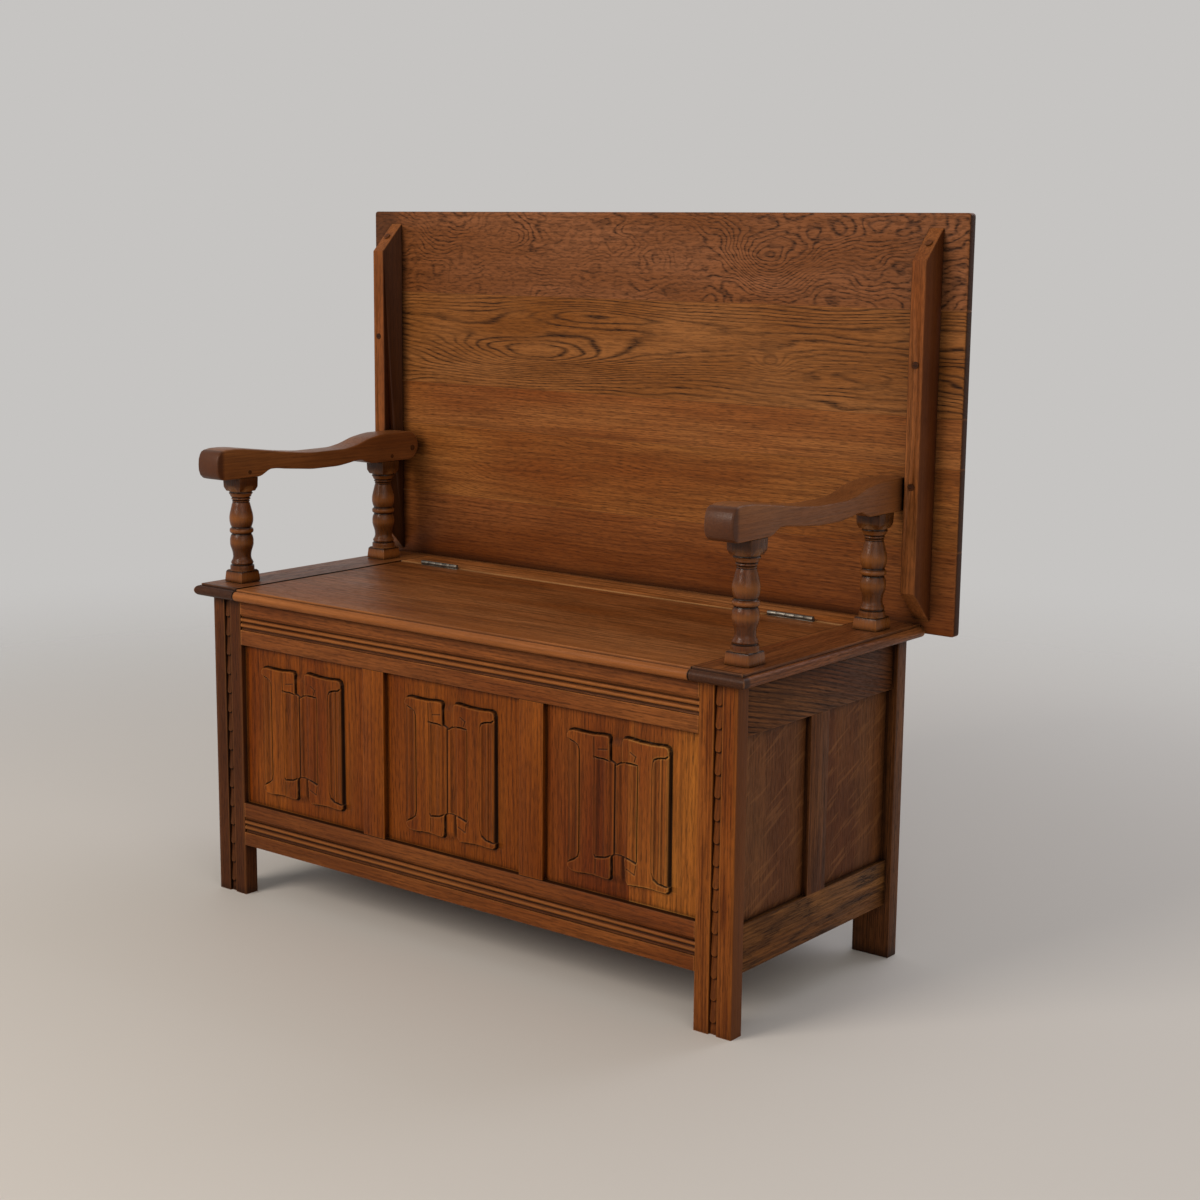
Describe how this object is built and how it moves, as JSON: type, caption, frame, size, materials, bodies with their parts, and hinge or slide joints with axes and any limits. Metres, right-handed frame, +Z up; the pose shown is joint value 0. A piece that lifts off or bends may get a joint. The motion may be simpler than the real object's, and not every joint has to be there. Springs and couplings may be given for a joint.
{
  "type": "settle bench",
  "caption": "Panelled chest seat with a hinged lid, scrolled arms on turned spindles and a back that tips forward onto the arms as a table.",
  "frame": {"origin": "floor level, centre of the bounding box", "axes": "+X along the bench, +Y from the front to the table back, +Z up"},
  "size_m": [1.057, 0.4452, 1.0014],
  "materials": {
    "oak_frame": "stained and waxed oak, worn warm brown on the arrises",
    "oak_panel": "stained and waxed oak, dark in the carving",
    "oak_seat": "stained and waxed oak, dark on the moulded edges",
    "oak_top": "stained and waxed oak with open figured grain",
    "oak_turned": "stained and waxed oak, dark in the turned hollows",
    "oak_arm": "stained and waxed oak, handled smooth",
    "oak_plug": "dark end-grain oak",
    "hinge_steel": "dulled steel"
  },
  "bodies": {
    "bench": {"arm_left": "oak_arm", "arm_peg_front_left": "oak_plug", "arm_peg_front_right": "oak_plug", "arm_peg_rear_left": "oak_plug", "arm_peg_rear_right": "oak_plug", "arm_right": "oak_arm", "chest_floor": "oak_panel", "front_bottom_rail": "oak_frame", "front_muntin_left": "oak_frame", "front_muntin_right": "oak_frame", "front_stile_left": "oak_frame", "front_stile_right": "oak_frame", "front_top_rail": "oak_frame", "hinge_fixed_leaf_left": "hinge_steel", "hinge_fixed_leaf_right": "hinge_steel", "hinge_pin_left": "hinge_steel", "hinge_pin_right": "hinge_steel", "linenfold_panel_centre": "oak_panel", "linenfold_panel_left": "oak_panel", "linenfold_panel_right": "oak_panel", "pivot_pin_left": "oak_plug", "pivot_pin_right": "oak_plug", "rear_bottom_rail": "oak_frame", "rear_panel": "oak_panel", "rear_stile_left": "oak_frame", "rear_stile_right": "oak_frame", "rear_top_rail": "oak_frame", "seat_rear_strip": "oak_seat", "seat_side_board_left": "oak_seat", "seat_side_board_right": "oak_seat", "side_bottom_rail_left": "oak_frame", "side_bottom_rail_right": "oak_frame", "side_muntin_left": "oak_frame", "side_muntin_right": "oak_frame", "side_panel_front_left": "oak_panel", "side_panel_front_right": "oak_panel", "side_panel_rear_left": "oak_panel", "side_panel_rear_right": "oak_panel", "side_top_rail_left": "oak_frame", "side_top_rail_right": "oak_frame", "spindle_front_left": "oak_turned", "spindle_front_right": "oak_turned", "spindle_rear_left": "oak_turned", "spindle_rear_right": "oak_turned"},
    "lid": {"hinge_lid_leaf_left": "hinge_steel", "hinge_lid_leaf_right": "hinge_steel", "seat_lid": "oak_seat"},
    "table": {"bearer_left": "oak_top", "bearer_plug_lower_left": "oak_plug", "bearer_plug_lower_right": "oak_plug", "bearer_plug_upper_left": "oak_plug", "bearer_plug_upper_right": "oak_plug", "bearer_right": "oak_top", "table_plank_1": "oak_top", "table_plank_2": "oak_top", "table_plank_3": "oak_top", "table_plank_4": "oak_top", "table_plank_5": "oak_top"}
  },
  "joints": [
    {"name": "table_tip", "type": "hinge", "parent": "bench", "child": "table", "pos_m": [0, 0.18025, 0.6351], "axis": [1, 0, 0], "range_deg": [0, 90]},
    {"name": "lid_lift", "type": "hinge", "parent": "bench", "child": "lid", "pos_m": [0, 0.13045, 0.4654], "axis": [-1, 0, 0], "range_deg": [0, 30]}
  ]
}
